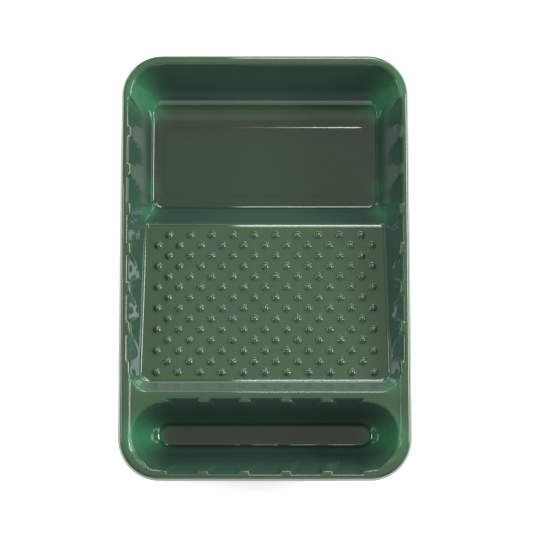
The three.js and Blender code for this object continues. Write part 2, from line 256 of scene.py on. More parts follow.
class Plan:
    """The tray's places, from the frame's boxes and the sizes above."""

    def __init__(self, sizes):
        s = self.sizes = sizes
        self.half_x, self.half_y, self.top = HIGH.x, HIGH.y, HIGH.z
        self.open_x = self.half_x - s.rim_land
        self.open_y = self.half_y - s.rim_land
        self.open_corner = s.corner_radius - s.rim_land
        self.floor_x = FLOOR_HIGH.x + HALF_GAP
        self.floor_back = FLOOR_HIGH.y + HALF_GAP
        self.floor_near = FLOOR_LOW.y - HALF_GAP
        self.crest_y = STEP_LOW.y - HALF_GAP
        step_run = self.floor_near - self.crest_y
        self.step_slope = (STEP_HIGH.z - s.sheet) / (step_run - HALF_GAP)
        self.crest_z = s.sheet + self.step_slope * step_run
        self.ramp_end = RAMP_LOW.y - HALF_GAP
        self.ramp_end_x = RAMP_HIGH.x + HALF_GAP
        self.ramp_slope = (s.ramp_end_height - self.crest_z) / (self.crest_y - self.ramp_end)
        self.riser_top = self.ramp_end - s.riser_run
        self.deck_z = self.top - s.deck_drop
        self.trough_far = self.riser_top - s.bridge_width
        self.trough_y = (self.trough_far - self.open_y) / 2
        self.trough_half = (self.trough_far + self.open_y) / 2
        self.trough_straight = self.open_x - s.trough_end_margin - self.trough_half

    def ramp_z(self, y):
        return self.crest_z + (self.crest_y - y) * self.ramp_slope

    def ramp_x(self, y):
        along = (self.crest_y - y) / (self.crest_y - self.ramp_end)
        crest_x = self.open_x - self.sizes.ramp_side_run
        return crest_x + (self.ramp_end_x - crest_x) * along

    def inset(self, x, y):
        radius = self.sizes.corner_radius
        return -outside_rect(x, y, self.half_x, -self.half_y, self.half_y, radius, radius)

    def rise_to_outline(self, x, y, outside, lowest, highest, steps=26):
        """The rise at which a widening outline passes through each point."""
        low = np.full_like(x, lowest)
        high = np.zeros_like(x) + highest
        for _ in range(steps):
            middle = (low + high) / 2
            beyond = outside(x, y, middle) > 0
            low = np.where(beyond, middle, low)
            high = np.where(beyond, high, middle)
        return (low + high) / 2

    # Each hollow gives the height of its surface over the plan, carried on above the rim.

    def well(self, x, y):
        s = self.sizes
        depth = self.top - s.sheet
        side_run = self.open_x - self.floor_x
        back_run = self.open_y - self.floor_back
        crease = s.crease_radius
        crease_back = crease * math.tan(math.atan2(depth, side_run) / 2)
        near_crease = crease * 0.8
        near_back = near_crease * math.tan(math.atan(self.step_slope) / 2)
        step_run = depth / self.step_slope

        def outside(x, y, rise):
            part = np.clip(rise / depth, 0, 1.2)
            side = coved_run(rise, side_run + crease_back, depth, crease) - crease_back
            back = coved_run(rise, back_run, depth, s.back_cove)
            near = coved_run(rise, step_run + near_back, depth, near_crease) - near_back
            corner = s.floor_corner + part * (self.open_corner - s.floor_corner)
            return outside_rect(
                x, y, self.floor_x + side, self.floor_near - near, self.floor_back + back,
                s.floor_corner, corner)

        rise = self.rise_to_outline(x, y, outside, -RISE_BELOW, depth + RISE_ABOVE)
        panel = outside_rect(
            x, y, self.floor_x - s.panel_margin, self.floor_near + s.panel_margin,
            self.floor_back - s.panel_margin, s.floor_corner, s.floor_corner)
        panel_rise = s.panel_rise * smooth_step(-panel / PANEL_EDGE)
        return s.sheet + panel_rise + np.maximum(rise, 0)

    def ramp(self, x, y):
        s = self.sizes
        floor = self.ramp_z(y)
        depth = self.top - floor
        crease = s.crease_radius
        side_run = self.open_x - self.ramp_x(y)
        back = crease * np.tan(np.arctan2(depth, side_run) / 2)
        end_depth = self.top - s.ramp_end_height
        end_crease = crease * 1.5
        end_back = end_crease * math.tan(math.atan2(end_depth, s.riser_run) / 2)

        def outside(x, y, rise):
            part = np.clip(rise / depth, -0.3, 1.2)
            side = coved_run(rise, side_run + back, depth, crease) - back
            end = coved_run(rise, s.riser_run + end_back, end_depth, end_crease) - end_back
            corner = s.ramp_end_corner + part * (s.riser_corner - s.ramp_end_corner)
            return outside_rect(
                x, y, self.ramp_x(y) + side, self.ramp_end - end, self.floor_back, corner, 1 * MM)

        rise = self.rise_to_outline(x, y, outside, -RISE_BELOW, depth + RISE_ABOVE)
        return floor + np.maximum(rise, 0)

    def flutes(self, x, y):
        s = self.sizes
        height = np.full_like(x, 1.0)
        first = self.open_y - FLUTE_BACK_MARGIN
        count = int((first - self.ramp_end - FLUTE_END_MARGIN) / s.flute_pitch) + 1
        for i in range(count):
            centre = first - i * s.flute_pitch
            in_well = centre > self.crest_y
            floor = s.sheet if in_well else float(self.ramp_z(centre))
            part = FLUTE_SHARE_WELL if in_well else FLUTE_SHARE_RAMP
            run = (self.open_x - self.floor_x) if in_well else self.open_x - float(self.ramp_x(centre))
            foot_z = self.top - (self.top - floor) * part
            foot_x = self.open_x - run * part
            foot = FLUTE_FOOT_HALF
            rise = self.top - foot_z
            out = foot_z + (np.abs(x) - foot_x) * rise / (self.open_x + s.flute_recess - foot_x)
            half, foot_y = s.flute_length / 2, centre - FLUTE_LEAN
            near_side = foot_z + (foot_y - foot - y) * rise / (half - foot - FLUTE_LEAN)
            far_side = foot_z + (y - foot_y - foot) * rise / (half - foot + FLUTE_LEAN)
            inner_end = foot_z + (foot_x - np.abs(x)) * FLUTE_END_SLOPE
            across = np.maximum(soft_max(near_side, far_side, FLUTE_SOFT), inner_end)
            height = np.minimum(height, soft_max(soft_max(out, across, FLUTE_SOFT), foot_z, FLUTE_SOFT))
        return height

    def recesses(self, x, y):
        s = self.sizes
        depth = self.deck_z - s.sheet
        foot_z = self.deck_z - depth * RECESS_SHARE
        foot_y = s.trough_floor + (self.trough_half - s.trough_floor) * (1 - RECESS_SHARE) ** (1 / BOWL)
        height = np.full_like(x, 1.0)
        rise = self.deck_z - foot_z
        each = int((self.trough_straight - RECESS_END_MARGIN) / s.recess_pitch)
        for i in range(-each, each + 1):
            out = foot_z + (np.abs(y - self.trough_y) - foot_y) * (
                rise / (self.trough_half + s.recess_bite - foot_y))
            across = foot_z + (np.abs(x - i * s.recess_pitch) - RECESS_FOOT_HALF) * (
                rise / (s.recess_length / 2 - RECESS_FOOT_HALF))
            height = np.minimum(height, soft_max(soft_max(out, across, FLUTE_SOFT), foot_z, FLUTE_SOFT))
        return height

    def trough(self, x, y):
        s = self.sizes
        away = np.hypot(np.maximum(np.abs(x) - self.trough_straight, 0), y - self.trough_y)
        part = np.maximum(away - s.trough_floor, 0) / (self.trough_half - s.trough_floor)
        bowl = s.sheet + (self.deck_z - s.sheet) * part ** BOWL
        return soft_min(bowl, self.recesses(x, y), FLUTE_SOFT)

    def basin(self, x, y):
        floor = soft_min(self.well(x, y), self.ramp(x, y), CREST_SOFT)
        return soft_min(floor, self.flutes(x, y), FLUTE_SOFT)

    def deck_outside(self, x, y):
        """Distance outside the outline of the deck round the trough."""
        reach = self.riser_top + self.sizes.riser_corner
        return outside_rect(x, y, self.open_x, -self.open_y, reach, self.open_corner, 1 * MM)

    def opening_outside(self, x, y):
        """Distance outside the outline of the whole opening."""
        corner = self.open_corner
        return outside_rect(x, y, self.open_x, -self.open_y, self.open_y, corner, corner)

    def deck(self, x, y):
        wall = self.top + self.deck_outside(x, y) * DECK_EDGE_SLOPE
        return soft_min(soft_max(wall, self.deck_z, DECK_SOFT), self.top, DECK_SOFT)

    def slope(self, surface, x, y):
        step = 0.05 * MM
        here = surface(x, y)
        across = (surface(x + step, y) - here) / step
        along = (surface(x, y + step) - here) / step
        return here, np.maximum(np.hypot(across, along), 0.05)

    def lip_outside(self, surface, x, y):
        """Distance outside a hollow's lip, negative over the hollow."""
        here, slope = self.slope(surface, x, y)
        return (here - self.deck(x, y)) / slope

    def height(self, x, y):
        """Height of the sheet's upper face, without the bumps."""
        level = self.deck(x, y)
        for surface, lip in ((self.basin, self.sizes.lip_round), (self.trough, self.sizes.trough_lip)):
            here, slope = self.slope(surface, x, y)
            level = soft_min(level, here, slope * lip)
        return level

    def pull(self, x, y, outside, spacing, among=1.0):
        """Moves the points near an outline onto lines that run along it."""
        step = 0.05 * MM
        away = outside(x, y)
        across = (outside(x + step, y) - away) / step
        along = (outside(x, y + step) - away) / step
        target = np.round(away / spacing) * spacing
        hold = 1 - smooth_step(np.abs(away) / spacing - 1.5)
        hold = hold * smooth_step((self.inset(x, y) - NET_INSET) / (1.5 * MM)) * among
        move = (target - away) * hold / np.maximum(across ** 2 + along ** 2, 0.25)
        return x + across * move, y + along * move


# ---------------------------------------------------------------- the formed sheet

def spaced(start, end, step):
    return list(np.linspace(start, end, max(1, round((end - start) / step)) + 1))


def run_of(*stretches):
    """Line places from stretches (start, end, step) that follow each other."""
    lines = []
    for start, end, step in stretches:
        lines += spaced(start, end, step)[1 if lines else 0:]
    return np.array(lines)


def mirrored(lines):
    """Lines from the middle outwards, on both sides."""
    return np.concatenate([-lines[::-1], lines if lines[0] > 0 else lines[1:]])


class Net:
    """Plan points and faces of the sheet, zone by zone along the tray."""

    def __init__(self):
        self.x, self.y, self.faces = [], [], []
        self.last_row = None

    def zone(self, xs, ys):
        first = sum(len(part) for part in self.x)
        index = first + np.arange(len(xs) * len(ys)).reshape(len(ys), len(xs))
        self.x.append(np.tile(xs, len(ys)))
        self.y.append(np.repeat(ys, len(xs)))
        corners = (index[:-1, :-1], index[:-1, 1:], index[1:, 1:], index[1:, :-1])
        self.faces += np.stack(corners, axis=-1).reshape(-1, 4).tolist()
        if self.last_row is not None:
            self.stitch(*self.last_row, index[0], xs)
        self.last_row = (index[-1], xs)

    def stitch(self, near, near_xs, far, far_xs):
        """Joins two rows of points whose places along X may differ."""
        i = j = 0
        while i < len(near) - 1 or j < len(far) - 1:
            step_near = near_xs[i + 1] if i < len(near) - 1 else math.inf
            step_far = far_xs[j + 1] if j < len(far) - 1 else math.inf
            if abs(step_near - step_far) < 0.1 * MM:
                self.faces.append([int(near[i]), int(near[i + 1]), int(far[j + 1]), int(far[j])])
                i, j = i + 1, j + 1
            elif step_near < step_far:
                self.faces.append([int(near[i]), int(near[i + 1]), int(far[j])])
                i += 1
            else:
                self.faces.append([int(near[i]), int(far[j + 1]), int(far[j])])
                j += 1

    def points(self):
        return np.concatenate(self.x), np.concatenate(self.y)


def dome(sizes):
    """The bumps' plan radius, and the radius of the ball that each is the cap of."""
    radius = sizes.bump_diameter / 2
    return radius, (radius ** 2 + sizes.bump_height ** 2) / (2 * sizes.bump_height)


def bump_centres(plan):
    """Centres of the bumps, row by row, every other row set over by half a pitch."""
    s = plan.sizes
    first = plan.ramp_end + BUMP_END_MARGIN
    rows = int((plan.crest_y - BUMP_CREST_MARGIN - first) / s.bump_pitch_along) + 1
    for row in range(rows):
        count = BUMPS_ACROSS - row % 2
        for i in range(count):
            yield (i - (count - 1) / 2) * s.bump_pitch_across, first + row * s.bump_pitch_along


def lay_net(plan):
    """The plan net: fine where the sheet bends, and square cells for the bumps."""
    s = plan.sizes
    centres = list(bump_centres(plan))
    cell_x, cell_y = s.bump_pitch_across / 4, s.bump_pitch_along / 2
    block_x = max(x for x, y in centres) + cell_x
    block_low = min(y for x, y in centres) - cell_y
    block_high = max(y for x, y in centres) + cell_y
    end_x, end_y = plan.half_x - NET_INSET, plan.half_y - NET_INSET
    outer = (block_x, end_x, 1.4 * MM)
    trough_bend = plan.trough_straight - 3 * MM
    panel_x = plan.floor_x - s.panel_margin
    panel_low, panel_high = plan.floor_near + s.panel_margin, plan.floor_back - s.panel_margin
    margin = 3 * MM
    bump_step = cell_x / CELL_STEPS * 2

    trough_xs = mirrored(run_of((0, trough_bend, 2.1 * MM), (trough_bend, block_x, 1.4 * MM), outer))
    ramp_xs = mirrored(run_of((0, block_x, bump_step), outer))
    well_xs = mirrored(run_of((0, panel_x - margin, 3.6 * MM), (panel_x - margin, block_x, 1.2 * MM), outer))

    bridge = s.bridge_width / 3
    net = Net()
    net.zone(trough_xs, run_of((-end_y, plan.trough_far + bridge, 1.35 * MM)))
    net.zone(ramp_xs, run_of(
        (plan.riser_top - bridge, block_low, 1.1 * MM),
        (block_low, block_high, cell_y / CELL_STEPS * 2),
        (block_high, block_high + 3 * MM, 1.5 * MM)))
    net.zone(well_xs, run_of(
        (block_high + 5 * MM, plan.floor_near + margin, 1.1 * MM),
        (plan.floor_near + margin, panel_low - 2 * MM, 2 * MM),
        (panel_low - 2 * MM, panel_low + 2 * MM, 0.9 * MM),
        (panel_low + 2 * MM, panel_high - 2 * MM, 3.4 * MM),
        (panel_high - 2 * MM, panel_high + 2 * MM, 0.9 * MM),
        (panel_high + 2 * MM, end_y, 1.4 * MM)))
    return net, centres, cell_x, cell_y


def raise_bumps(plan, x, y, centres, cell_x, cell_y):
    """Turns the middle of each bump's square cell into the rings of a round dome."""
    radius, sphere = dome(plan.sizes)
    rise = np.zeros_like(x)
    for centre_x, centre_y in centres:
        u, v = (x - centre_x) / cell_x, (y - centre_y) / cell_y
        ring = np.maximum(np.abs(u), np.abs(v))
        inside = np.flatnonzero(ring < 0.99)
        u, v, ring = u[inside], v[inside], np.maximum(ring[inside], 1e-6)
        reach = radius * np.interp(ring, DOME_SQUARES, DOME_RINGS)
        on_side = np.abs(u) >= np.abs(v)
        turn = math.pi / 4 * np.where(on_side, v / ring, u / ring)
        sign = np.where(on_side, np.sign(u), np.sign(v))
        x[inside] = centre_x + reach * np.where(on_side, sign * np.cos(turn), np.sin(turn))
        y[inside] = centre_y + reach * np.where(on_side, np.sin(turn), sign * np.cos(turn))
        cap = np.sqrt(np.maximum(sphere ** 2 - reach ** 2, 0)) - (sphere - plan.sizes.bump_height)
        rise[inside] = np.maximum(cap, 0)
    return rise


def rounded_outline(plan, inset):
    """Points of the rim's outline, moved in, turning left."""
    radius = plan.sizes.corner_radius
    reach = radius - inset
    arcs = []
    for quarter, (side_x, side_y) in enumerate(((1, 1), (-1, 1), (-1, -1), (1, -1))):
        middle_x, middle_y = side_x * (plan.half_x - radius), side_y * (plan.half_y - radius)
        angles = [math.pi / 2 * (quarter + i / CORNER_STEPS) for i in range(CORNER_STEPS + 1)]
        arcs.append([(middle_x + reach * math.cos(a), middle_y + reach * math.sin(a)) for a in angles])
    points = []
    for quarter, arc in enumerate(arcs):
        start, end = Vector(arc[-1]), Vector(arcs[(quarter + 1) % 4][0])
        steps = SIDE_STEPS if quarter % 2 else round(SIDE_STEPS * plan.half_x / plan.half_y)
        points += arc + [tuple(start.lerp(end, i / steps)) for i in range(1, steps)]
    return points


def rim_profile(plan):
    """The rim's section from its flat land outwards and down: (inset, height)."""
    s = plan.sizes
    flat = s.edge_round + s.skirt_flare
    profile = [(flat + 0.4 * MM, plan.top)]
    for i in range(EDGE_STEPS + 1):
        angle = math.pi / 2 * i / EDGE_STEPS
        profile.append((
            flat - s.edge_round * math.sin(angle), plan.top - s.edge_round * (1 - math.cos(angle))))
    foot = plan.top - s.skirt_depth
    profile.append((s.skirt_flare * 0.5, (plan.top - s.edge_round + foot) / 2))
    profile.append((0.15 * MM, foot + 0.5 * MM))
    profile.append((0.0, foot))
    return profile


def rim_band(plan, first):
    """The rings of points from the land to the skirt's foot, and the faces between them."""
    points, faces = [], []
    profile = rim_profile(plan)
    for inset, height in profile:
        points += [(x, y, height) for x, y in rounded_outline(plan, inset)]
    count = len(points) // len(profile)
    for ring in range(len(profile) - 1):
        for i in range(count):
            a = first + ring * count + i
            b = first + ring * count + (i + 1) % count
            faces.append([a, a + count, b + count, b])
    return points, faces


def deselect_all():
    bpy.ops.object.select_all(action="DESELECT")


def make_active(piece):
    deselect_all()
    piece.select_set(True)
    bpy.context.view_layer.objects.active = piece


def apply_modifier(piece, kind, **settings):
    make_active(piece)
    modifier = piece.modifiers.new(kind.title(), kind)
    for name, value in settings.items():
        setattr(modifier, name, value)
    bpy.ops.object.modifier_apply(modifier=modifier.name)


def form_sheet(plan):
    """The sheet's upper face as one open mesh, from the well's floor to the skirt's foot."""
    net, centres, cell_x, cell_y = lay_net(plan)
    x, y = net.points()
    in_corner = smooth_step((np.abs(x) - plan.open_x + plan.open_corner - 8 * MM) / (6 * MM))
    x, y = plan.pull(x, y, plan.opening_outside, 1.0 * MM, in_corner * (y < plan.trough_far))
    x, y = plan.pull(x, y, lambda x, y: plan.lip_outside(plan.trough, x, y), LIP_SPACING)
    x, y = plan.pull(x, y, lambda x, y: plan.lip_outside(plan.basin, x, y), LIP_SPACING)
    rise = raise_bumps(plan, x, y, centres, cell_x, cell_y)
    z = plan.height(x, y) + rise
    kept = plan.inset(x, y) > NET_INSET - 0.1 * MM
    faces = [face for face in net.faces if all(kept[i] for i in face)]
    used = sorted({i for face in faces for i in face})
    place = {old: new for new, old in enumerate(used)}
    points = [(x[i], y[i], z[i]) for i in used]
    rim_points, rim_faces = rim_band(plan, len(points))
    mesh = bpy.data.meshes.new("tray_shell")
    mesh.from_pydata(points + rim_points, [], [[place[i] for i in face] for face in faces] + rim_faces)
    mesh.update()
    piece = bpy.data.objects.new("tray_shell", mesh)
    bpy.context.scene.collection.objects.link(piece)
    fill_land(piece, len(points), plan.top)
    return piece


def in_outline(x, y, starts, ends):
    """Whether points lie inside closed outlines, given as the edges' end points."""
    x, y = x[:, None], y[:, None]
    crosses = (starts[:, 1] > y) != (ends[:, 1] > y)
    rise = np.where(ends[:, 1] == starts[:, 1], 1.0, ends[:, 1] - starts[:, 1])
    at = starts[:, 0] + (y - starts[:, 1]) / rise * (ends[:, 0] - starts[:, 0])
    return np.count_nonzero(crosses & (x < at), axis=1) % 2 == 1


def fill_land(piece, net_points, top):
    """Fills the flat rim between the net and the rounded edge."""
    net = bmesh.new()
    net.from_mesh(piece.data)
    net.verts.ensure_lookup_table()
    border = [
        edge for edge in net.edges
        if edge.is_boundary and min(vert.co.z for vert in edge.verts) > top - 1 * MM]
    corners = sorted({vert.index for edge in border for vert in edge.verts})
    place = {index: i for i, index in enumerate(corners)}
    flat = [net.verts[index].co.xy for index in corners]
    pairs = [tuple(place[vert.index] for vert in edge.verts) for edge in border]
    points, _, faces, origins, _, _ = delaunay_2d_cdt(flat, pairs, [], 1, 1e-8)
    middles = np.array([sum((points[i] for i in face), Vector((0, 0))) / len(face) for face in faces])
    inner = [edge for edge in border if edge.verts[0].index < net_points]
    starts, ends = (np.array([edge.verts[k].co.xy for edge in inner]) for k in (0, 1))
    over_net = in_outline(middles[:, 0], middles[:, 1], starts, ends)
    for face, covered in zip(faces, over_net):
        if not covered:
            net.faces.new([net.verts[corners[origins[i][0]]] for i in face])
    net.to_mesh(piece.data)
    net.free()


# Where the sheet is stretched thin, with a painted glow of light through it at the well's and trough's
# corners.
def thin_sheet_painted_glow(plan, x, y):
    places = (
        (plan.floor_x, plan.floor_back, BACK_CORNER_THIN_GLOW),
        (plan.floor_x, plan.floor_near, STEP_CORNER_THIN_GLOW),
        (plan.floor_x, plan.floor_near, WELL_SIDE_THIN_GLOW),
        (plan.trough_straight, plan.trough_y, TROUGH_END_THIN_GLOW),
        (plan.ramp_end_x, plan.ramp_end, RAMP_CORNER_THIN_GLOW))
    stretch = np.zeros_like(x)
    for crease_x, crease_y, (beyond_x, beyond_y, reach, amount) in places:
        away = np.hypot(np.abs(x) - crease_x - beyond_x, y - crease_y - beyond_y) / reach
        stretch = np.maximum(stretch, amount * np.exp(-away ** 2))
    return stretch


# Painted shade: darkens the low flat floors of the well and the trough, short of the well floor's back edge.
def floors_painted_shade(plan, x, y, z):
    s = plan.sizes
    off_floor = outside_rect(
        x, y, plan.floor_x, plan.floor_near, plan.floor_back - PAINTED_SHADE_SHORT, s.floor_corner, s.floor_corner)
    low = 1 - smooth_step((z - s.sheet - 1.2 * MM) / (3 * MM))
    return low * np.where(y < plan.trough_far, 1, 1 - smooth_step(off_floor / (2.5 * MM)))


def steep_walls(plan, x, y, z, steep):
    s = plan.sizes
    inside = plan.inset(x, y) > s.edge_round + s.skirt_flare
    wall = smooth_step((steep - 22) / 28) * smooth_step((plan.top - z) / (8 * MM)) * inside
    on_ramp = (np.abs(x) < plan.ramp_x(y) - 3 * MM) & (
        y < plan.crest_y - 6 * MM) & (y > plan.ramp_end + 3 * MM)
    on_bump = on_ramp & (steep < 89) & (np.abs(z - plan.ramp_z(y)) < s.bump_height * 1.3)
    return np.where(on_bump, 0, wall)


def riser_face(plan, y):
    edge = 4 * MM
    return smooth_step((plan.ramp_end + edge - y) / edge) * (y > plan.riser_top - edge)


def ribs_painted_reflection(plan, x, y, z, steep):
    """The plain wall left standing between the well's flutes, which gets a paler grey painted reflection."""
    plain = soft_min(plan.well(x, y), plan.ramp(x, y), CREST_SOFT)
    whole = 1 - smooth_step((plain - plan.flutes(x, y)) / (7 * MM))
    ribbed = (y > plan.floor_near) & (y < plan.open_y - FLUTE_BACK_MARGIN + plan.sizes.flute_length)
    heights = smooth_step((z - 14 * MM) / (20 * MM)) * smooth_step((plan.top - z) / (8 * MM))
    return whole * ribbed * smooth_step((steep - 45) / 25) * heights


def mark_forming(piece, plan):
    """Keeps on the mesh where the sheet is stretched thin (with a painted glow), the painted shade of the low
    flat floors, where it is steep, and the painted reflection on the ribs and riser.
    """
    mesh = piece.data
    co, up = np.zeros(len(mesh.vertices) * 3), np.zeros(len(mesh.vertices) * 3)
    mesh.vertices.foreach_get("co", co)
    mesh.vertex_normals.foreach_get("vector", up)
    x, y, z = co.reshape(-1, 3).T
    steep = np.degrees(np.arccos(np.clip(up.reshape(-1, 3)[:, 2], -1, 1)))
    riser = riser_face(plan, y)
    # Painted reflection on the riser's steep face.
    riser_painted_reflection = riser * (steep > 30) * smooth_step((plan.top - z) / (3 * MM)) * RISER_PAINTED_REFLECTION
    marks = (
        # Thin sheet, with a painted glow there.
        ("stretch", thin_sheet_painted_glow(plan, x, y)),
        # Painted shade on the low flat floors.
        ("pool", floors_painted_shade(plan, x, y, z)),
        ("wall", steep_walls(plan, x, y, z, steep) * (1 - riser)),
        # Painted reflection on the ribs and the riser.
        ("painted_reflection", np.maximum(ribs_painted_reflection(plan, x, y, z, steep), riser_painted_reflection)))
    for name, values in marks:
        attribute = mesh.attributes.new(name, "FLOAT", "POINT")
        attribute.data.foreach_set("value", np.asarray(values, np.float32))


def true_normals(piece, plan, upper):
    """Shades both faces of the sheet with the slope of its real surface, not of its small flat faces."""
    mesh = piece.data
    s = plan.sizes
    count = len(mesh.vertices)
    co, normals = np.zeros(count * 3), np.zeros(count * 3)
    mesh.vertices.foreach_get("co", co)
    mesh.vertex_normals.foreach_get("vector", normals)
    co, normals = co.reshape(-1, 3), normals.reshape(-1, 3)
    x, y = co[:upper, 0], co[:upper, 1]
    step = 0.15 * MM
    level = np.stack([
        plan.height(x - step, y) - plan.height(x + step, y),
        plan.height(x, y - step) - plan.height(x, y + step),
        np.full_like(x, 2 * step)], axis=1)
    radius, sphere = dome(s)
    for centre_x, centre_y in bump_centres(plan):
        away_x, away_y = x - centre_x, y - centre_y
        reach = np.hypot(away_x, away_y)
        cap = np.flatnonzero(reach < radius * 0.97)
        up = np.sqrt(sphere ** 2 - reach[cap] ** 2)
        level[cap] = np.stack([away_x[cap], away_y[cap] + up * plan.ramp_slope, up], axis=1)
    level /= np.linalg.norm(level, axis=1, keepdims=True)
    formed = np.flatnonzero(plan.inset(x, y) > s.edge_round + s.skirt_flare + 0.2 * MM)
    normals[formed] = level[formed]
    normals[formed + upper] = -level[formed]
    mesh.normals_split_custom_set_from_vertices(normals.tolist())


# ---------------------------------------------------------------- materials

def node(tree, kind, place, inputs=None, **settings):
    made = tree.nodes.new(kind)
    made.location = place
    for name, value in settings.items():
        setattr(made, name, value)
    for name, value in (inputs or {}).items():
        made.inputs[name].default_value = value
    return made


def new_group(name, inputs, outputs):
    group = bpy.data.node_groups.new(name, "ShaderNodeTree")
    for socket, kind, default in inputs:
        made = group.interface.new_socket(socket, in_out="INPUT", socket_type=kind)
        made.default_value = default
    for socket, kind in outputs:
        group.interface.new_socket(socket, in_out="OUTPUT", socket_type=kind)
    return group


def handling_marks():
    """Fine scratches from rubbing, and dust: a mask that goes to roughness and colour."""
    group = new_group(
        "Handling marks",
        [("Scale", "NodeSocketFloat", 1.0), ("Amount", "NodeSocketFloat", 0.5)],
        [("Scratches", "NodeSocketFloat"), ("Dust", "NodeSocketFloat")])
    links = group.links
    entry = node(group, "NodeGroupInput", (-900, 0))
    leave = node(group, "NodeGroupOutput", (700, 0))
    where = node(group, "ShaderNodeTexCoord", (-900, -250))
    scaled = node(group, "ShaderNodeVectorMath", (-700, 0), operation="SCALE")
    links.new(where.outputs["Object"], scaled.inputs[0])
    links.new(entry.outputs["Scale"], scaled.inputs["Scale"])
    both = node(group, "ShaderNodeMath", (100, 0), operation="MAXIMUM")
    for i, (turn, stretch) in enumerate(((0.5, 40.0), (2.1, 55.0))):
        mapping = node(group, "ShaderNodeMapping", (-500, -220 * i), {
            "Rotation": (0.0, 0.0, turn), "Scale": (900.0, stretch, 300.0)})
        noise = node(group, "ShaderNodeTexNoise", (-300, -220 * i), {
            "Scale": 1.0, "Detail": 2.0, "Roughness": 0.6})
        line = node(group, "ShaderNodeMapRange", (-100, -220 * i), {
            "From Min": 0.70, "From Max": 0.80, "To Min": 0.0, "To Max": 1.0})
        links.new(scaled.outputs[0], mapping.inputs["Vector"])
        links.new(mapping.outputs[0], noise.inputs["Vector"])
        links.new(noise.outputs[0], line.inputs["Value"])
        links.new(line.outputs[0], both.inputs[i])
    weigh = node(group, "ShaderNodeMath", (300, 0), operation="MULTIPLY")
    links.new(both.outputs[0], weigh.inputs[0])
    links.new(entry.outputs["Amount"], weigh.inputs[1])
    links.new(weigh.outputs[0], leave.inputs["Scratches"])
    specks = node(group, "ShaderNodeTexVoronoi", (-300, -480), {"Scale": 420.0, "Randomness": 1.0})
    speck = node(group, "ShaderNodeMapRange", (-100, -480), {
        "From Min": 0.10, "From Max": 0.03, "To Min": 0.0, "To Max": 1.0})
    links.new(scaled.outputs[0], specks.inputs["Vector"])
    links.new(specks.outputs["Distance"], speck.inputs["Value"])
    links.new(speck.outputs[0], leave.inputs["Dust"])
    return group


def forming_grain():
    """Soft flow marks of the formed sheet: a colour mask, and a height for its slight waviness."""
    group = new_group(
        "Forming grain",
        [("Wave", "NodeSocketFloat", 26.0), ("Grain", "NodeSocketFloat", 900.0)],
        [("Flow", "NodeSocketFloat"), ("Height", "NodeSocketFloat")])
    links = group.links
    entry = node(group, "NodeGroupInput", (-900, 0))
    leave = node(group, "NodeGroupOutput", (500, 0))
    where = node(group, "ShaderNodeTexCoord", (-900, -250))
    wave = node(group, "ShaderNodeTexNoise", (-500, 0), {"Detail": 3.0, "Roughness": 0.55})
    grain = node(group, "ShaderNodeTexNoise", (-500, -300), {"Detail": 2.0, "Roughness": 0.5})
    links.new(where.outputs["Object"], wave.inputs["Vector"])
    links.new(where.outputs["Object"], grain.inputs["Vector"])
    links.new(entry.outputs["Wave"], wave.inputs["Scale"])
    links.new(entry.outputs["Grain"], grain.inputs["Scale"])
    links.new(wave.outputs[0], leave.inputs["Flow"])
    small = node(group, "ShaderNodeMath", (-200, -300), {1: 0.06}, operation="MULTIPLY")
    links.new(grain.outputs[0], small.inputs[0])
    added = node(group, "ShaderNodeMath", (0, -100), operation="ADD")
    links.new(wave.outputs[0], added.inputs[0])
    links.new(small.outputs[0], added.inputs[1])
    links.new(added.outputs[0], leave.inputs["Height"])
    return group


def mix_colour(tree, place, factor, low, high):
    mixed = node(tree, "ShaderNodeMix", place, data_type="RGBA")
    tree.links.new(factor, mixed.inputs["Factor"])
    for socket, value in ((mixed.inputs[6], low), (mixed.inputs[7], high)):
        if isinstance(value, tuple):
            socket.default_value = value
        else:
            tree.links.new(value, socket)
    return mixed.outputs[2]


def opaque(values, gain=1.0):
    return tuple(value * gain for value in values) + (1.0,)


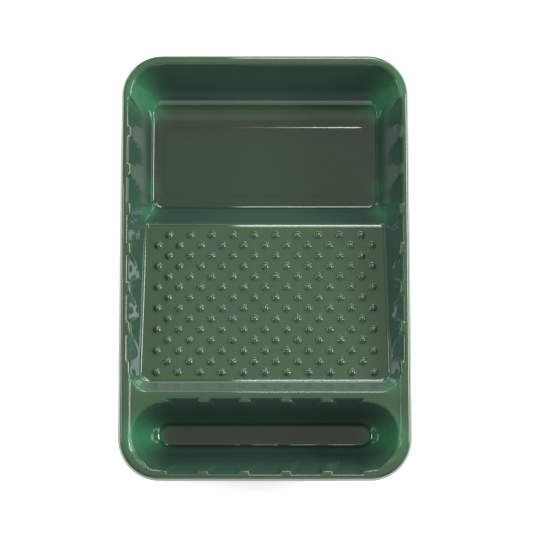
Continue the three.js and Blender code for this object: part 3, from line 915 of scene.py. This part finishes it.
def sheet_material(colours):
    """Glossy green sheet: painted shade on the floors, darker walls, a brighter painted glow where it is
    thin, and a paler painted reflection on the ribs and riser.
    """
    material = bpy.data.materials.new("green_sheet_formed")
    material.use_nodes = True
    tree = material.node_tree
    links = tree.links
    shader = tree.nodes["Principled BSDF"]
    stretch = node(tree, "ShaderNodeAttribute", (-900, 300), attribute_name="stretch")
    pool = node(tree, "ShaderNodeAttribute", (-900, 100), attribute_name="pool")
    steep = node(tree, "ShaderNodeAttribute", (-900, -50), attribute_name="wall")
    painted_reflection = node(tree, "ShaderNodeAttribute", (-900, -120), attribute_name="painted_reflection")
    marks = node(tree, "ShaderNodeGroup", (-900, -250), node_tree=handling_marks())
    grain = node(tree, "ShaderNodeGroup", (-900, -500), node_tree=forming_grain())
    marks.inputs["Amount"].default_value = 0.6
    sheet = mix_colour(
        tree, (-650, 500), grain.outputs["Flow"], opaque(colours.sheet, 0.82), opaque(colours.sheet, 1.22))
    walls = mix_colour(tree, (-560, 350), steep.outputs["Fac"], sheet, opaque(colours.wall))
    # Painted reflection: paler grey on the ribs and the riser.
    faces = mix_colour(tree, (-500, 300), painted_reflection.outputs["Fac"], walls, opaque(colours.painted_reflection))
    # Painted shade on the flat floors.
    floors = mix_colour(tree, (-450, 250), pool.outputs["Fac"], faces, opaque(colours.pool))
    # Painted glow: brighter green where the sheet is thin, standing in for light through it.
    thin = mix_colour(tree, (-300, 200), stretch.outputs["Fac"], floors, opaque(colours.thin))
    soften = node(tree, "ShaderNodeMath", (-450, -100), {1: 0.12}, operation="MULTIPLY")
    links.new(marks.outputs["Dust"], soften.inputs[0])
    dusty = mix_colour(tree, (-150, 150), soften.outputs[0], thin, (0.45, 0.47, 0.42, 1.0))
    links.new(dusty, shader.inputs["Base Color"])
    # Painted glow: the steep walls emit a faint light, standing in for daylight through the sheet.
    through = mix_colour(
        tree, (-150, -50), steep.outputs["Fac"], (0.0, 0.0, 0.0, 1.0), opaque(colours.through))
    links.new(through, shader.inputs["Emission Color"])
    shader.inputs["Emission Strength"].default_value = 1.0
    rough = node(tree, "ShaderNodeMapRange", (-450, -250), {
        "From Min": 0.0, "From Max": 1.0, "To Min": colours.gloss, "To Max": 0.42})
    links.new(marks.outputs["Scratches"], rough.inputs["Value"])
    links.new(rough.outputs[0], shader.inputs["Roughness"])
    bump = node(tree, "ShaderNodeBump", (-300, -500), {"Strength": 0.2, "Distance": 0.00012})
    links.new(grain.outputs["Height"], bump.inputs["Height"])
    links.new(bump.outputs["Normal"], shader.inputs["Normal"])
    shader.inputs["IOR"].default_value = 1.49
    return material


def floor_material(colours):
    material = bpy.data.materials.new("studio_floor")
    material.use_nodes = True
    tree = material.node_tree
    shader = tree.nodes["Principled BSDF"]
    grain = node(tree, "ShaderNodeTexNoise", (-600, 0), {"Scale": 30.0, "Detail": 2.0})
    where = node(tree, "ShaderNodeTexCoord", (-800, 0))
    tree.links.new(where.outputs["Object"], grain.inputs["Vector"])
    tone = mix_colour(
        tree, (-300, 0), grain.outputs[0], opaque(colours.floor, 0.99), opaque(colours.floor, 1.01))
    tree.links.new(tone, shader.inputs["Base Color"])
    shader.inputs["Roughness"].default_value = 0.9
    shader.inputs["Specular IOR Level"].default_value = 0.1
    shader.inputs["Emission Color"].default_value = (1.0, 1.0, 1.0, 1.0)
    shader.inputs["Emission Strength"].default_value = FLOOR_GLOW
    return material


# ---------------------------------------------------------------- stage

def studio_world():
    """Soft studio surroundings: pale overhead, duller halfway down, bright low down behind the tray."""
    world = bpy.data.worlds.new("studio")
    bpy.context.scene.world = world
    world.use_nodes = True
    tree = world.node_tree
    back = tree.nodes["Background"]
    where = node(tree, "ShaderNodeTexCoord", (-1100, 0))
    split = node(tree, "ShaderNodeSeparateXYZ", (-900, 0))
    heights = node(tree, "ShaderNodeValToRGB", (-600, 150))
    behind = node(tree, "ShaderNodeVectorMath", (-900, -250), {1: WORLD_BRIGHT_WAY}, operation="DOT_PRODUCT")
    sides = node(tree, "ShaderNodeMapRange", (-600, -200), {
        "From Min": -0.8, "From Max": 0.8, "To Min": 0.35, "To Max": 1.25})
    both = node(tree, "ShaderNodeVectorMath", (-300, 0), operation="SCALE")
    tree.links.new(where.outputs["Generated"], split.inputs[0])
    tree.links.new(where.outputs["Generated"], behind.inputs[0])
    tree.links.new(split.outputs["Z"], heights.inputs[0])
    tree.links.new(behind.outputs["Value"], sides.inputs["Value"])
    tree.links.new(heights.outputs[0], both.inputs[0])
    tree.links.new(sides.outputs[0], both.inputs["Scale"])
    tree.links.new(both.outputs[0], back.inputs["Color"])
    stops = heights.color_ramp.elements
    stops[0].position, stops[0].color = 0.0, (0.95, 0.95, 0.95, 1.0)
    stops[1].position, stops[1].color = 0.96, (0.60, 0.58, 0.54, 1.0)
    for place, grey in ((0.40, 0.85), (0.55, 0.18), (0.85, 0.22)):
        stop = stops.new(place)
        stop.color = (grey, grey, grey, 1.0)
    back.inputs["Strength"].default_value = WORLD_STRENGTH


def panel_light(name, centre, target, width, height, strength):
    """A rectangular soft light, width along the ground, that faces its target."""
    data = bpy.data.lights.new(name, "AREA")
    data.shape = "RECTANGLE"
    data.size, data.size_y = width, height
    data.energy = strength * width * height * math.pi
    lamp = bpy.data.objects.new(name, data)
    bpy.context.scene.collection.objects.link(lamp)
    lamp.location = centre
    lamp.rotation_euler = (Vector(target) - Vector(centre)).to_track_quat("-Z", "Y").to_euler()
    return lamp


def studio_lights():
    over = (0.0, 0.0, 0.05)
    for name, centre, width, height, strength in LIGHTS:
        panel_light(name, centre, over, width, height, strength)


def studio_camera():
    data = bpy.data.cameras.new("camera")
    data.lens = CAMERA_LENS
    data.clip_end = 20
    camera = bpy.data.objects.new("camera", data)
    bpy.context.scene.collection.objects.link(camera)
    tilt = math.radians(CAMERA_TILT)
    back = Vector((0.0, -math.sin(tilt), math.cos(tilt))) * CAMERA_DISTANCE
    camera.location = Vector(CAMERA_AIM) + back
    camera.rotation_euler = (tilt, 0.0, math.radians(CAMERA_ROLL))
    bpy.context.scene.camera = camera


# ---------------------------------------------------------------- operators

class TRAY_OT_shell(bpy.types.Operator):
    """Model the formed sheet: rim, skirt, well, ramp with its bumps, and trough"""
    bl_idname = "tray.shell"
    bl_label = "Formed sheet"

    def execute(self, context):
        plan = Plan(context.scene.tray_sizes)
        piece = form_sheet(plan)
        mark_forming(piece, plan)
        upper = len(piece.data.vertices)
        apply_modifier(piece, "SOLIDIFY", thickness=plan.sizes.sheet, offset=-1.0)
        make_active(piece)
        bpy.ops.object.shade_smooth()
        true_normals(piece, plan, upper)
        piece.data.materials.append(sheet_material(context.scene.tray_colours))
        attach(piece, BODY)
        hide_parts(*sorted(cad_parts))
        return {"FINISHED"}


class TRAY_OT_stage(bpy.types.Operator):
    """Set the pale floor, the soft studio lights and the camera"""
    bl_idname = "tray.stage"
    bl_label = "Stage"

    def execute(self, context):
        deselect_all()
        bpy.ops.mesh.primitive_circle_add(vertices=96, radius=FLOOR_RADIUS, fill_type="NGON")
        floor = context.active_object
        floor.name = "studio_floor"
        floor.data.materials.append(floor_material(context.scene.tray_colours))
        studio_world()
        studio_lights()
        studio_camera()
        context.scene.view_settings.view_transform = "Standard"
        return {"FINISHED"}


class TRAY_PT_panel(bpy.types.Panel):
    """Sizes, colours and steps of the paint roller tray"""
    bl_idname = "TRAY_PT_panel"
    bl_label = "Paint Roller Tray"
    bl_space_type = "VIEW_3D"
    bl_region_type = "UI"
    bl_category = "Roller Tray"

    def draw(self, context):
        layout = self.layout
        for operator in (TRAY_OT_shell, TRAY_OT_stage):
            layout.operator(operator.bl_idname)
        for group in (context.scene.tray_sizes, context.scene.tray_colours):
            for name in group.__annotations__:
                layout.prop(group, name)


CLASSES = (TraySizes, TrayColours, TRAY_OT_shell, TRAY_OT_stage, TRAY_PT_panel)


def register():
    for each in CLASSES:
        bpy.utils.register_class(each)
    bpy.types.Scene.tray_sizes = bpy.props.PointerProperty(type=TraySizes)
    bpy.types.Scene.tray_colours = bpy.props.PointerProperty(type=TrayColours)


def unregister():
    del bpy.types.Scene.tray_colours
    del bpy.types.Scene.tray_sizes
    for each in reversed(CLASSES):
        bpy.utils.unregister_class(each)


def main():
    register()
    bpy.ops.tray.shell()
    bpy.ops.tray.stage()


if __name__ == "__main__":
    main()
